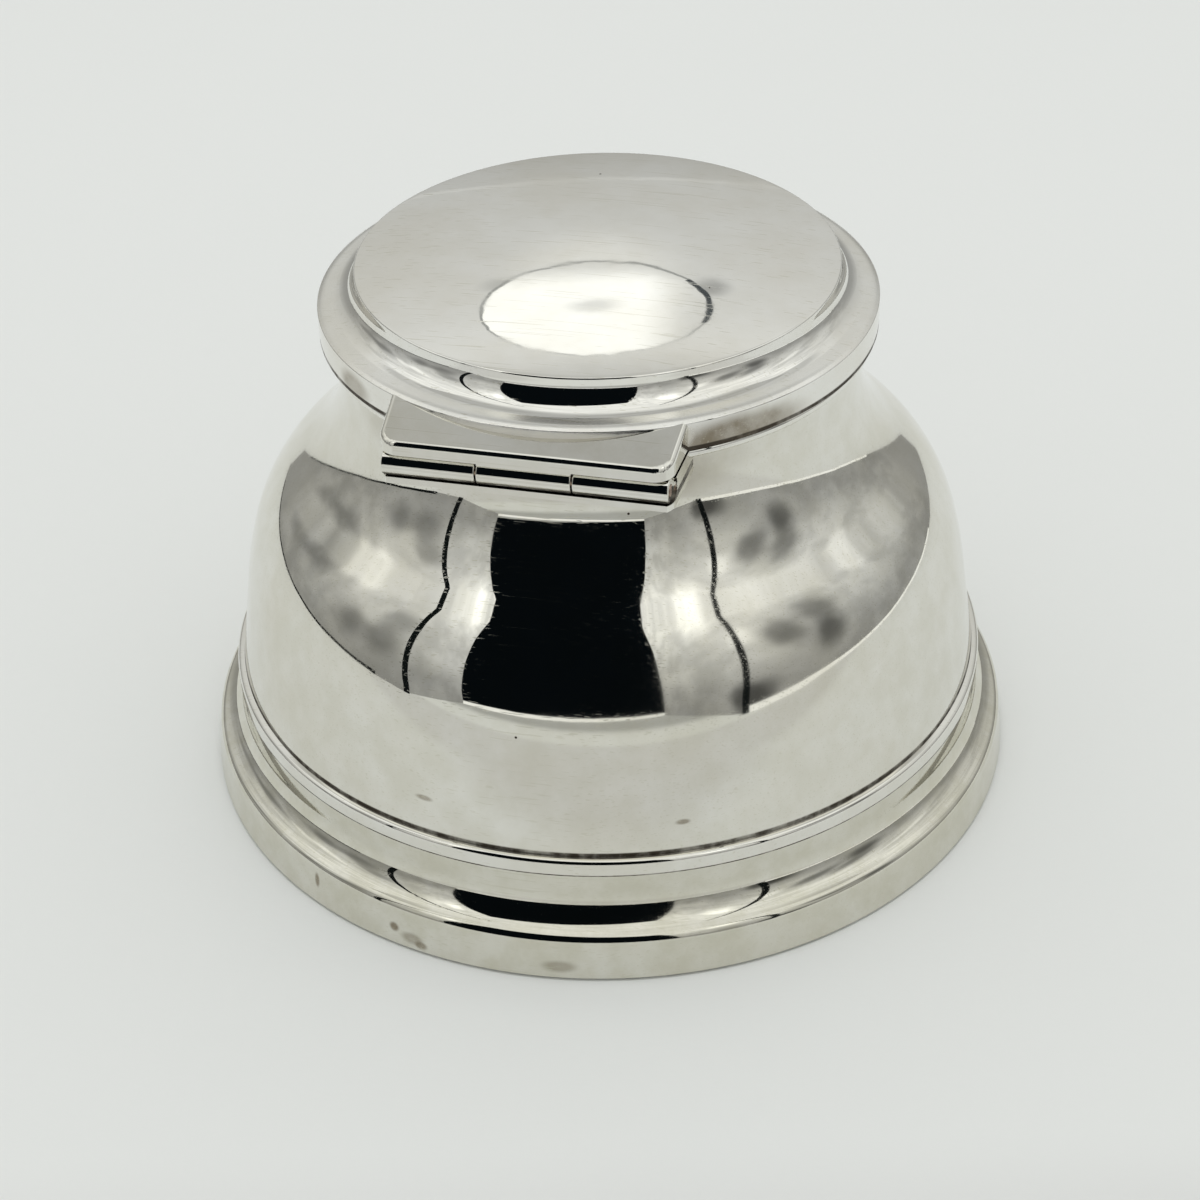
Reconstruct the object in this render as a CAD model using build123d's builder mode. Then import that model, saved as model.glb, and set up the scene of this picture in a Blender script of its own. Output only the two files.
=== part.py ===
"""Capstan inkwell: a round silver desk inkwell with a hinged lid and a loose glass pot.

Lengths are in millimetres and angles in degrees. +Z is up, the origin is the middle of the
underside, and the lid's hinge is on the -Y side. Turned outlines are drawn as (radius, height)
in the XZ plane. A lean is how far a surface tips back from upright, so 0 is a straight wall.
"""
from build123d import *

import os
from math import acos, atan2, cos, degrees, dist, radians, sin, sqrt, tan

# Foot moulding, from the floor up
foot_radius = 44.0
foot_sheet = 0.9
foot_edge_chamfer = 0.3
foot_band_draft = 0.5
foot_band_height = 4.18
foot_corner_radius = 1.0
foot_ledge_lean = 71.9
foot_cove_radius = 3.35
foot_wall_height = 2.5

# Bell-shaped body, from the foot up
body_sheet = 0.8
body_set_in = 0.245
cone_height = 11.5
cone_lean = 8.5
belly_radius = 35.0
belly_lean = 18.0
shoulder_radius = 16.3
shoulder_lean = 46.7
shoulder_flat = 2.2
neck_cove_radius = 14.5
mouth_rise = 2.9

# Reeded wire around the joint of body and foot
wire_stand_out = 0.25
wire_band_height = 1.3
reed_radius = 0.5
reed_ledge_lean = 84.0
reed_ledge_width = 1.0

# Mouth and well
collar_overhang = 1.2
collar_thickness = 0.9
collar_edge_round = 0.35
collar_width = 4.6
well_sheet = 0.5

# Weighted base
baize_recess = 0.2
baize_thickness = 1.0
baize_margin = 0.6
board_headroom = 0.35
board_clearance = 0.25
pitch_clearance = 0.1
pitch_under_well = 8.9
pitch_rise = 9.6

# Loose glass pot
pot_clearance = 0.6
pot_wall = 3.0
pot_floor = 4.0
pot_below_rim = 2.6
pot_foot_round = 0.6
pot_inner_round = 6.0
pot_lip_round = 1.2

# Lid, from its lower edge up and inwards
lid_gap = 0.3
lid_overhang = 0.4
lid_sheet = 0.8
lid_band_height = 2.8
lid_corner_radius = 0.15
lid_bevel_lean = 62.0
lid_bevel_width = 0.5
lid_ledge_lean = 84.0
lid_ledge_width = 1.05
lid_cove_radius = 2.57
lid_wall_lean = 4.0
lid_wall_length = 0.5
dome_corner_radius = 0.2
dome_edge_lean = 84.1
bezel_clearance = 0.4
bezel_sheet = 0.7
bezel_drop = 1.9
bezel_recess = 0.3
bezel_flange = 0.7
lining_overlap = 2.2
lining_sheet = 0.5
lining_rise = 1.0

# Hinge
knuckle_radius = 1.25
knuckle_length = 9.0
knuckle_gap = 0.15
knuckle_edge_round = 0.12
knuckle_behind_gap = 0.4
pin_radius = 0.6
pin_running_clearance = 0.03
pin_end_proud = 0.05
centre_knuckle_room = 0.2
leaf_lift = 0.15
leaf_thickness = 1.35
leaf_slope = 14.0
leaf_edge_round = 0.6
leaf_reach = 1.2
leaf_side_margin = 0.25
leaf_splay = 0.5
leaf_corner_radius = 2.0
saddle_half_width = 0.8
lower_lip_drop = 0.15
lower_lip_thickness = 0.65
lower_lip_reach = 0.6


def on_arc(centre, radius, lean):
    """Point where an arc leans back by an angle; a negative radius makes the arc hollow."""
    return (centre[0] + radius * cos(radians(lean)), centre[1] + radius * sin(radians(lean)))


def up_slope(start, length, lean):
    """Point reached by going up and in along a straight slope."""
    return (start[0] - length * sin(radians(lean)), start[1] + length * cos(radians(lean)))


# Foot: band, corner, hollow and wall run into each other without a break
foot_band_top = (foot_radius - foot_band_draft, foot_band_height)
foot_corner_centre = on_arc(foot_band_top, -foot_corner_radius, 0)
foot_turn = on_arc(foot_corner_centre, foot_corner_radius, foot_ledge_lean)
foot_cove_centre = on_arc(foot_turn, foot_cove_radius, foot_ledge_lean)
foot_wall_radius = foot_cove_centre[0] - foot_cove_radius
foot_inner_radius = foot_wall_radius - foot_sheet
foot_inner_cove_radius = foot_cove_radius + foot_sheet
foot_inner_turn = on_arc(foot_cove_centre, -foot_inner_cove_radius, foot_ledge_lean)
foot_top = foot_cove_centre[1] + foot_wall_height

# Body: cone, belly, shoulder, straight and hollow neck, each tangent to the one below
cone_bottom = (foot_wall_radius - body_set_in, foot_top)
cone_top = up_slope(cone_bottom, cone_height / cos(radians(cone_lean)), cone_lean)
belly_centre = on_arc(cone_top, -belly_radius, cone_lean)
belly_top = on_arc(belly_centre, belly_radius, belly_lean)
shoulder_centre = on_arc(belly_top, -shoulder_radius, belly_lean)
shoulder_top = on_arc(shoulder_centre, shoulder_radius, shoulder_lean)
neck_start = up_slope(shoulder_top, shoulder_flat, shoulder_lean)
neck_centre = on_arc(neck_start, neck_cove_radius, shoulder_lean)
neck_radius = neck_centre[0] - neck_cove_radius
mouth_height = neck_centre[1] + mouth_rise

# Mouth, well and filling
collar_radius = neck_radius + collar_overhang
collar_top = mouth_height + collar_thickness
well_radius = collar_radius - collar_width
well_bore = well_radius - well_sheet
board_bottom = baize_recess + baize_thickness
board_top = foot_inner_turn[1] - board_headroom
well_bottom = board_top + pitch_under_well
well_floor = well_bottom + well_sheet
pitch_top = foot_top + pitch_rise
pot_radius = well_bore - pot_clearance
pot_top = collar_top - pot_below_rim

# Lid: band, bevel, ledge, hollow, wall, rounded corner and dome
lid_bottom = collar_top + lid_gap
lid_radius = collar_radius + lid_overhang
lid_inner_radius = lid_radius - lid_sheet
lid_band_top = (lid_radius, lid_bottom + lid_band_height)
lid_corner_centre = on_arc(lid_band_top, -lid_corner_radius, 0)
lid_bevel_start = on_arc(lid_corner_centre, lid_corner_radius, lid_bevel_lean)
lid_bevel_end = up_slope(lid_bevel_start, lid_bevel_width, lid_bevel_lean)
lid_ledge_end = up_slope(lid_bevel_end, lid_ledge_width, lid_ledge_lean)
lid_cove_centre = on_arc(lid_ledge_end, lid_cove_radius, lid_ledge_lean)
lid_wall_foot = on_arc(lid_cove_centre, -lid_cove_radius, lid_wall_lean)
lid_wall_top = up_slope(lid_wall_foot, lid_wall_length, lid_wall_lean)
dome_corner_centre = on_arc(lid_wall_top, -dome_corner_radius, lid_wall_lean)
dome_edge = on_arc(dome_corner_centre, dome_corner_radius, dome_edge_lean)
dome_radius = dome_edge[0] / cos(radians(dome_edge_lean))
dome_centre = on_arc(dome_edge, -dome_radius, dome_edge_lean)

# Inside of the lid, one sheet further in: the dome runs straight into the hollow
under_dome_radius = dome_radius - lid_sheet
under_cove_radius = lid_cove_radius + lid_sheet
centres_apart = dist(dome_centre, lid_cove_centre)
centres_rise = lid_cove_centre[1] - dome_centre[1]
under_reach = (under_dome_radius**2 - under_cove_radius**2 + centres_apart**2) / centres_apart / 2
under_dome_lean = degrees(atan2(centres_rise, lid_cove_centre[0]))
under_dome_lean += degrees(acos(under_reach / under_dome_radius))
under_dome_edge = on_arc(dome_centre, under_dome_radius, under_dome_lean)
under_drop = lid_cove_centre[1] - under_dome_edge[1]
under_cove_lean = degrees(atan2(under_drop, lid_cove_centre[0] - under_dome_edge[0]))
under_ledge_end = on_arc(lid_cove_centre, -under_cove_radius, lid_ledge_lean)
under_ledge_width = (lid_inner_radius - under_ledge_end[0]) / sin(radians(lid_ledge_lean))
under_corner = up_slope(under_ledge_end, -under_ledge_width, lid_ledge_lean)

# Bezel and lining
bezel_radius = well_bore - bezel_clearance
bezel_bore = bezel_radius - bezel_sheet
bezel_bottom = lid_bottom - bezel_drop
flange_bottom = lid_bottom + bezel_recess
flange_top = flange_bottom + bezel_flange
lining_radius = bezel_bore + lining_overlap

# Hinge: the knuckles' tops are level with the lid's lower edge
axis_out = collar_radius + knuckle_behind_gap + knuckle_radius
axis_height = lid_bottom - knuckle_radius
knuckle_pitch = knuckle_length + knuckle_gap
hinge_half_length = 1.5 * knuckle_length + knuckle_gap
leaf_bottom = lid_bottom + leaf_lift
leaf_front = axis_out + leaf_reach
leaf_front_half_width = hinge_half_length + leaf_side_margin
leaf_back_half_width = leaf_front_half_width + leaf_splay
leaf_back = 0.97 * sqrt(neck_radius**2 - leaf_back_half_width**2)
leaf_rear_thickness = leaf_thickness + (leaf_front - leaf_back) * tan(radians(leaf_slope))
lower_lip_top = -knuckle_radius - lower_lip_drop
lower_leaf_bottom = axis_height + lower_lip_top - lower_lip_thickness
axis_plane = Plane(origin=(0, -axis_out, axis_height), x_dir=(0, -1, 0), z_dir=(-1, 0, 0))


def cone_radius(height, inset=0.0):
    """Radius of the body's straight lower wall, or of a wall set in from it, at a height."""
    slope = tan(radians(cone_lean))
    return cone_bottom[0] - (height - foot_top) * slope - inset / cos(radians(cone_lean))


def mouth_radius(inset=0.0):
    """Radius of the hollow neck where it meets the collar."""
    return neck_centre[0] - sqrt((neck_cove_radius + inset) ** 2 - mouth_rise**2)


def draw_body_side(inset=0.0):
    """Side of the body from the mouth to the foot, set in by a wall; returns both ends."""
    top = (mouth_radius(inset), mouth_height)
    neck_hollow = neck_cove_radius + inset
    shoulder = shoulder_radius - inset
    belly = belly_radius - inset
    neck_waist = on_arc(neck_centre, -neck_hollow, 0)
    neck_end = on_arc(neck_centre, -neck_hollow, shoulder_lean)
    shoulder_start = on_arc(shoulder_centre, shoulder, shoulder_lean)
    shoulder_middle = on_arc(shoulder_centre, shoulder, (shoulder_lean + belly_lean) / 2)
    shoulder_end = on_arc(shoulder_centre, shoulder, belly_lean)
    belly_middle = on_arc(belly_centre, belly, (belly_lean + cone_lean) / 2)
    belly_end = on_arc(belly_centre, belly, cone_lean)
    bottom = (cone_radius(foot_top, inset), foot_top)
    ThreePointArc(top, neck_waist, neck_end)
    Line(neck_end, shoulder_start)
    ThreePointArc(shoulder_start, shoulder_middle, shoulder_end)
    ThreePointArc(shoulder_end, belly_middle, belly_end)
    Line(belly_end, bottom)
    return top, bottom


# Foot ring
with BuildPart() as foot_ring:
    with BuildSketch(Plane.XZ):
        with BuildLine():
            Polyline(
                (foot_radius - foot_sheet, 0),
                (foot_radius - foot_edge_chamfer, 0),
                (foot_radius, foot_edge_chamfer),
                foot_band_top,
            )
            ThreePointArc(
                foot_band_top,
                on_arc(foot_corner_centre, foot_corner_radius, foot_ledge_lean / 2),
                foot_turn,
            )
            ThreePointArc(
                foot_turn,
                on_arc(foot_cove_centre, -foot_cove_radius, foot_ledge_lean / 2),
                (foot_wall_radius, foot_cove_centre[1]),
            )
            Polyline(
                (foot_wall_radius, foot_cove_centre[1]),
                (foot_wall_radius, foot_top),
                (foot_inner_radius, foot_top),
                (foot_inner_radius, foot_cove_centre[1]),
            )
            ThreePointArc(
                (foot_inner_radius, foot_cove_centre[1]),
                on_arc(foot_cove_centre, -foot_inner_cove_radius, foot_ledge_lean / 2),
                foot_inner_turn,
            )
            Line(foot_inner_turn, (foot_radius - foot_sheet, 0))
        make_face()
    revolve(axis=Axis.Z)
foot_ring.part.label = "foot_ring"

# Body shell, a bell with walls of even thickness
with BuildPart() as body_shell:
    with BuildSketch(Plane.XZ):
        with BuildLine():
            outer_top, outer_bottom = draw_body_side()
            inner_top, inner_bottom = draw_body_side(body_sheet)
            Line(outer_bottom, inner_bottom)
            Line(inner_top, outer_top)
        make_face()
    revolve(axis=Axis.Z)
body_shell.part.label = "body_shell"

# Reeded wire: a band, a reed and a narrow ledge that runs in to the cone of the body
wire_radius = foot_wall_radius + wire_stand_out
reed_start = (wire_radius, foot_top + wire_band_height)
reed_centre = on_arc(reed_start, -reed_radius, 0)
reed_end = on_arc(reed_centre, reed_radius, reed_ledge_lean)
reed_ledge_end = up_slope(reed_end, reed_ledge_width, reed_ledge_lean)
wire_top = reed_ledge_end[1]
with BuildPart() as reeded_wire:
    with BuildSketch(Plane.XZ):
        with BuildLine():
            Polyline(
                reed_ledge_end,
                (reed_ledge_end[0], foot_top),
                (wire_radius, foot_top),
                reed_start,
            )
            reed_middle = on_arc(reed_centre, reed_radius, reed_ledge_lean / 2)
            ThreePointArc(reed_start, reed_middle, reed_end)
            Line(reed_end, reed_ledge_end)
        make_face()
        with BuildLine():
            Polyline(
                (0, foot_top),
                (cone_radius(foot_top), foot_top),
                (cone_radius(wire_top), wire_top),
                (0, wire_top),
                close=True,
            )
        make_face(mode=Mode.SUBTRACT)
    revolve(axis=Axis.Z)
reeded_wire.part.label = "reeded_wire"

# Mouth collar and the well that hangs from it
with BuildPart() as mouth_collar:
    with BuildSketch(Plane.XY.offset(mouth_height)):
        Circle(collar_radius)
        Circle(well_radius, mode=Mode.SUBTRACT)
    extrude(amount=collar_thickness)
    rims = mouth_collar.edges().filter_by(GeomType.CIRCLE).sort_by(SortBy.RADIUS)
    fillet(rims[-2:], collar_edge_round)
mouth_collar.part.label = "mouth_collar"

with BuildPart() as well_sleeve:
    with BuildSketch(Plane.XY.offset(well_bottom)):
        Circle(well_radius)
    extrude(amount=collar_top - well_bottom)
    with BuildSketch(Plane.XY.offset(well_floor)):
        Circle(well_bore)
    extrude(amount=collar_top - well_floor, mode=Mode.SUBTRACT)
well_sleeve.part.label = "well_sleeve"

# Glass pot, turned as one outline with a rounded bottom inside
pot_bore = pot_radius - pot_wall
pot_inner_floor = well_floor + pot_floor
with BuildPart() as ink_pot:
    with BuildSketch(Plane.XZ):
        with BuildLine():
            pot_outline = Polyline(
                (0, well_floor),
                (pot_radius, well_floor),
                (pot_radius, pot_top),
                (pot_bore, pot_top),
                (pot_bore, pot_inner_floor),
                (0, pot_inner_floor),
                close=True,
            )
        pot_face = make_face()
        corners = pot_face.vertices().group_by(Axis.X)
        fillet(corners[1].sort_by(Axis.Y)[0], pot_inner_round)
        fillet(corners[2].sort_by(Axis.Y)[0], pot_foot_round)
        fillet(pot_face.vertices().sort_by(Axis.Y)[-2:], pot_lip_round)
    revolve(axis=Axis.Z)
ink_pot.part.label = "ink_pot"

# Weighted base: baize, wooden board and the pitch run in around the well
with BuildPart() as base_baize:
    with BuildSketch(Plane.XY.offset(baize_recess)):
        Circle(foot_inner_turn[0] - baize_margin)
    extrude(amount=baize_thickness)
base_baize.part.label = "base_baize"

with BuildPart() as base_board:
    with BuildSketch(Plane.XY.offset(board_bottom)):
        Circle(foot_inner_turn[0] - board_clearance)
    extrude(amount=board_top - board_bottom)
base_board.part.label = "base_board"

pitch_inset = body_sheet + pitch_clearance
with BuildPart() as pitch_filling:
    with BuildSketch(Plane.XZ):
        with BuildLine():
            Polyline(
                (0, board_top),
                (foot_inner_radius - pitch_clearance, board_top),
                (foot_inner_radius - pitch_clearance, foot_top - pitch_clearance),
                (cone_radius(foot_top, pitch_inset), foot_top),
                (cone_radius(pitch_top, pitch_inset), pitch_top),
                (well_radius + pitch_clearance, pitch_top),
                (well_radius + pitch_clearance, well_bottom),
                (0, well_bottom),
                close=True,
            )
        make_face()
    revolve(axis=Axis.Z)
pitch_filling.part.label = "pitch_filling"


# Lid shell, spun in one piece
with BuildPart() as lid_shell:
    with BuildSketch(Plane.XZ):
        with BuildLine():
            crown = on_arc(dome_centre, dome_radius, 90)
            under_crown = on_arc(dome_centre, under_dome_radius, 90)
            ThreePointArc(
                crown,
                on_arc(dome_centre, dome_radius, (90 + dome_edge_lean) / 2),
                dome_edge,
            )
            ThreePointArc(
                dome_edge,
                on_arc(
                    dome_corner_centre, dome_corner_radius, (dome_edge_lean + lid_wall_lean) / 2
                ),
                lid_wall_top,
            )
            Line(lid_wall_top, lid_wall_foot)
            ThreePointArc(
                lid_wall_foot,
                on_arc(lid_cove_centre, -lid_cove_radius, (lid_wall_lean + lid_ledge_lean) / 2),
                lid_ledge_end,
            )
            Polyline(lid_ledge_end, lid_bevel_end, lid_bevel_start)
            ThreePointArc(
                lid_bevel_start,
                on_arc(lid_corner_centre, lid_corner_radius, lid_bevel_lean / 2),
                lid_band_top,
            )
            Polyline(
                lid_band_top,
                (lid_radius, lid_bottom),
                (lid_inner_radius, lid_bottom),
                under_corner,
                under_ledge_end,
            )
            ThreePointArc(
                under_ledge_end,
                on_arc(
                    lid_cove_centre, -under_cove_radius, (under_cove_lean + lid_ledge_lean) / 2
                ),
                under_dome_edge,
            )
            ThreePointArc(
                under_dome_edge,
                on_arc(dome_centre, under_dome_radius, (90 + under_dome_lean) / 2),
                under_crown,
            )
            Line(under_crown, crown)
        make_face()
    revolve(axis=Axis.Z)
lid_shell.part.label = "lid_shell"

# Bezel that drops into the well, with a flange that holds it in the lid
with BuildPart() as lid_bezel:
    with BuildSketch(Plane.XZ):
        with BuildLine():
            Polyline(
                (bezel_bore, bezel_bottom),
                (bezel_radius, bezel_bottom),
                (bezel_radius, flange_bottom),
                (lid_inner_radius, flange_bottom),
                (lid_inner_radius, flange_top),
                (bezel_bore, flange_top),
                close=True,
            )
        make_face()
    revolve(axis=Axis.Z)
lid_bezel.part.label = "lid_bezel"

# Lining: a flat rim on the bezel's flange and a shallow dome that closes the lid's underside
with BuildPart() as lid_lining:
    with BuildSketch(Plane.XY.offset(flange_top)):
        Circle(lining_radius)
        Circle(bezel_bore, mode=Mode.SUBTRACT)
    extrude(amount=lining_sheet)
    with BuildSketch(Plane.XZ):
        with BuildLine():
            crown = (0, flange_top + lining_rise)
            rim = (bezel_bore, flange_top)
            under_side = TangentArc(crown, rim, tangent=(1, 0))
            upper_side = TangentArc(
                (0, crown[1] + lining_sheet),
                (bezel_bore, flange_top + lining_sheet),
                tangent=(1, 0),
            )
            Line(rim, (bezel_bore, flange_top + lining_sheet))
            Line(crown, (0, crown[1] + lining_sheet))
        make_face()
    revolve(axis=Axis.Z)
lid_lining.part.label = "lid_lining"

# Plan shared by both hinge leaves: a trapezium with rounded front corners
with BuildSketch() as leaf_plan:
    with BuildLine():
        Polyline(
            (-leaf_back_half_width, -leaf_back),
            (leaf_back_half_width, -leaf_back),
            (leaf_front_half_width, -leaf_front),
            (-leaf_front_half_width, -leaf_front),
            close=True,
        )
    make_face()
    fillet(leaf_plan.vertices().sort_by(Axis.Y)[:2], leaf_corner_radius)

# Upper leaf, rising to the lid's band, let in around it and saddled on the centre knuckle
with BuildPart() as upper_hinge_leaf:
    with BuildSketch(Plane.XY.offset(leaf_bottom)):
        add(leaf_plan.sketch)
    extrude(amount=leaf_rear_thickness)
    with BuildSketch(Plane.YZ):
        with BuildLine():
            Polyline(
                (-leaf_front, leaf_bottom),
                (-leaf_front, leaf_bottom + leaf_thickness),
                (-leaf_back, leaf_bottom + leaf_rear_thickness),
                (-leaf_back, leaf_bottom),
                close=True,
            )
        make_face()
    extrude(amount=leaf_back_half_width, both=True, mode=Mode.INTERSECT)
    top_edges = upper_hinge_leaf.faces().sort_by(Axis.Z)[-1].edges().sort_by(Axis.Y)
    fillet(top_edges[:-1], leaf_edge_round)
    with BuildSketch(axis_plane):
        with Locations((0, leaf_bottom - axis_height)):
            saddle_size = (2 * saddle_half_width, leaf_bottom - axis_height)
            Rectangle(*saddle_size, align=(Align.CENTER, Align.MAX))
        Circle(knuckle_radius, mode=Mode.SUBTRACT)
    extrude(amount=knuckle_length / 2, both=True)
    with BuildSketch(Plane.XY.offset(leaf_bottom)):
        Circle(lid_radius)
    extrude(amount=leaf_rear_thickness, mode=Mode.SUBTRACT)
upper_hinge_leaf.part.label = "upper_hinge_leaf"

# Lower leaf, let in around the neck and collar, with a lip under the knuckles
with BuildPart() as lower_hinge_leaf:
    with BuildSketch(Plane.XY.offset(lower_leaf_bottom)):
        add(leaf_plan.sketch)
    extrude(amount=collar_top - lower_leaf_bottom)
    with BuildSketch(axis_plane):
        with BuildLine():
            Polyline(
                (0, lower_lip_top),
                (lower_lip_reach, lower_lip_top),
                (lower_lip_reach, -axis_out),
                (axis_out, -axis_out),
                (axis_out, axis_out),
                (0, axis_out),
                close=True,
            )
        make_face()
    extrude(amount=leaf_back_half_width, both=True, mode=Mode.SUBTRACT)
    with BuildSketch(Plane.XZ):
        with BuildLine():
            side_top, side_bottom = draw_body_side()
            Polyline(side_bottom, (0, foot_top), (0, mouth_height), side_top)
        make_face()
    revolve(axis=Axis.Z, mode=Mode.SUBTRACT)
    with BuildSketch(Plane.XY.offset(mouth_height)):
        Circle(collar_radius)
    extrude(amount=collar_thickness, mode=Mode.SUBTRACT)
    with BuildSketch(axis_plane):
        Circle(knuckle_radius)
    extrude(amount=leaf_back_half_width, both=True, mode=Mode.SUBTRACT)
    with BuildSketch(axis_plane):
        Circle(knuckle_radius + centre_knuckle_room)
    extrude(amount=knuckle_length / 2 + knuckle_gap, both=True, mode=Mode.SUBTRACT)
lower_hinge_leaf.part.label = "lower_hinge_leaf"


def hinge_knuckle(label, along, bore_radius):
    """One tube knuckle, centred at a distance along the hinge axis."""
    with BuildPart() as knuckle:
        with BuildSketch(axis_plane.offset(along)):
            Circle(knuckle_radius)
            Circle(bore_radius, mode=Mode.SUBTRACT)
        extrude(amount=knuckle_length / 2, both=True)
        rims = knuckle.edges().filter_by(GeomType.CIRCLE).sort_by(SortBy.RADIUS)
        fillet(rims[-2:], knuckle_edge_round)
    knuckle.part.label = label
    return knuckle.part


# Knuckles and pin: the outer knuckles grip the pin and the centre one turns on it
knuckle_left = hinge_knuckle("hinge_knuckle_left", knuckle_pitch, pin_radius)
knuckle_right = hinge_knuckle("hinge_knuckle_right", -knuckle_pitch, pin_radius)
knuckle_centre = hinge_knuckle("hinge_knuckle_centre", 0, pin_radius + pin_running_clearance)

with BuildPart() as hinge_pin:
    with BuildSketch(axis_plane):
        Circle(pin_radius)
    extrude(amount=hinge_half_length + pin_end_proud, both=True)
hinge_pin.part.label = "hinge_pin"

# One file for each piece, named as its label
os.makedirs("parts", exist_ok=True)
base_pieces = [
    foot_ring.part,
    body_shell.part,
    reeded_wire.part,
    mouth_collar.part,
    well_sleeve.part,
    ink_pot.part,
    base_baize.part,
    base_board.part,
    pitch_filling.part,
    lower_hinge_leaf.part,
    knuckle_left,
    knuckle_right,
    hinge_pin.part,
]
lid_pieces = [
    lid_shell.part,
    lid_bezel.part,
    lid_lining.part,
    upper_hinge_leaf.part,
    knuckle_centre,
]
for piece in base_pieces + lid_pieces:
    export_step(piece, f"parts/{piece.label}.step")
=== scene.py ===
from math import acos, asin, atan2, ceil, cos, degrees, dist, hypot, pi, radians, sin, tan

import bpy
from mathutils import Matrix, Vector, noise


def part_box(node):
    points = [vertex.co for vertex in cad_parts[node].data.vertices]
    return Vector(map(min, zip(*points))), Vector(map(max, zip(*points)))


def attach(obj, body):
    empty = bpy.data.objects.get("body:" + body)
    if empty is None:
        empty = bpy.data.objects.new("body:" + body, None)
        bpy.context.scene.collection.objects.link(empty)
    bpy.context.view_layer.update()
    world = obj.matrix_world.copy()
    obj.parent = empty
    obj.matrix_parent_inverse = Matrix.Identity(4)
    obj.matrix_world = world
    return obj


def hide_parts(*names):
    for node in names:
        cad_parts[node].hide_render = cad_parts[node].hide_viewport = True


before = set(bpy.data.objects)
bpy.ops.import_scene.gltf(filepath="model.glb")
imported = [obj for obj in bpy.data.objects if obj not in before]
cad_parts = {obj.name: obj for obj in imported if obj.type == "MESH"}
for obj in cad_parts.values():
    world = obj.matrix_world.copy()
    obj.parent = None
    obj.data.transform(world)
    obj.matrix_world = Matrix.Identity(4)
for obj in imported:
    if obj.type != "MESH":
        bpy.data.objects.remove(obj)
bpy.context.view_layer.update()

# Looks of a round silver desk inkwell that stands in a white light tent.
# Outlines are (radius, height) in millimetres, as in the part's source, and angles in degrees.
# A lean is how far a surface tips back from upright, so 0 is a straight wall.
metres = 0.001

# Foot moulding
foot_radius = 44.0
foot_sheet = 0.9
foot_edge_chamfer = 0.3
foot_band_draft = 0.5
foot_band_height = 4.18
foot_corner_radius = 1.0
foot_ledge_lean = 71.9
foot_cove_radius = 3.35
foot_wall_height = 2.5

# Body
body_sheet = 0.8
body_set_in = 0.245
cone_height = 11.5
cone_lean = 8.5
belly_radius = 35.0
belly_lean = 18.0
shoulder_radius = 16.3
shoulder_lean = 46.7
shoulder_flat = 2.2
neck_cove_radius = 14.5
mouth_rise = 2.9

# Reeded wire
wire_stand_out = 0.25
wire_band_height = 1.3
reed_radius = 0.5
reed_ledge_lean = 84.0

# Mouth, well and glass pot
collar_overhang = 1.2
collar_thickness = 0.9
collar_edge_round = 0.35
collar_width = 4.6
well_sheet = 0.5
well_edge_round = 0.12
pot_clearance = 0.6
pot_wall = 3.0
pot_floor = 4.0
pot_below_rim = 2.6
pot_foot_round = 0.6
pot_inner_round = 6.0
pot_lip_round = 1.2

# Lid
lid_gap = 0.3
lid_overhang = 0.4
lid_sheet = 0.8
lid_band_height = 2.8
lid_corner_radius = 0.15
lid_bevel_lean = 62.0
lid_bevel_width = 0.5
lid_ledge_lean = 84.0
lid_ledge_width = 1.05
lid_cove_radius = 2.57
lid_wall_lean = 4.0
lid_wall_length = 0.5
dome_corner_radius = 0.2
dome_edge_lean = 84.1
bezel_clearance = 0.4
bezel_sheet = 0.7
bezel_drop = 1.9
bezel_recess = 0.3
bezel_flange = 0.7
bezel_edge_round = 0.12
lining_overlap = 2.2
lining_sheet = 0.5
lining_rise = 1.0

# Hinge
knuckle_radius = 1.25
knuckle_length = 9.0
knuckle_gap = 0.15
knuckle_edge_round = 0.12
knuckle_behind_gap = 0.4
pin_radius = 0.6
# Makes the pin thinner than its bore, so that their facets don't cross as the lid turns
pin_ease = 0.005
pin_end_proud = 0.05
pin_end_round = 0.04

# Mesh fineness: a mirror finish shows every facet
segments_round = 512
small_segments_round = 96
largest_turn = 4.0
longest_step = 0.4
same_point = 1e-6


def on_arc(centre, radius, lean):
    """Point where an arc leans back by an angle; a negative radius makes the arc hollow."""
    return (centre[0] + radius * cos(radians(lean)), centre[1] + radius * sin(radians(lean)))


def up_slope(start, length, lean):
    """Point reached by going up and in along a straight slope."""
    return (start[0] - length * sin(radians(lean)), start[1] + length * cos(radians(lean)))


# Where the outlines' parts meet, from the foot up
foot_band_top = (foot_radius - foot_band_draft, foot_band_height)
foot_corner_centre = on_arc(foot_band_top, -foot_corner_radius, 0)
foot_turn = on_arc(foot_corner_centre, foot_corner_radius, foot_ledge_lean)
foot_cove_centre = on_arc(foot_turn, foot_cove_radius, foot_ledge_lean)
foot_wall_radius = foot_cove_centre[0] - foot_cove_radius
foot_inner_radius = foot_wall_radius - foot_sheet
foot_inner_cove_radius = foot_cove_radius + foot_sheet
foot_top = foot_cove_centre[1] + foot_wall_height
wire_radius = foot_wall_radius + wire_stand_out
cone_bottom = (foot_wall_radius - body_set_in, foot_top)
cone_top = up_slope(cone_bottom, cone_height / cos(radians(cone_lean)), cone_lean)
belly_centre = on_arc(cone_top, -belly_radius, cone_lean)
belly_top = on_arc(belly_centre, belly_radius, belly_lean)
shoulder_centre = on_arc(belly_top, -shoulder_radius, belly_lean)
shoulder_top = on_arc(shoulder_centre, shoulder_radius, shoulder_lean)
neck_start = up_slope(shoulder_top, shoulder_flat, shoulder_lean)
neck_centre = on_arc(neck_start, neck_cove_radius, shoulder_lean)
neck_radius = neck_centre[0] - neck_cove_radius
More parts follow.
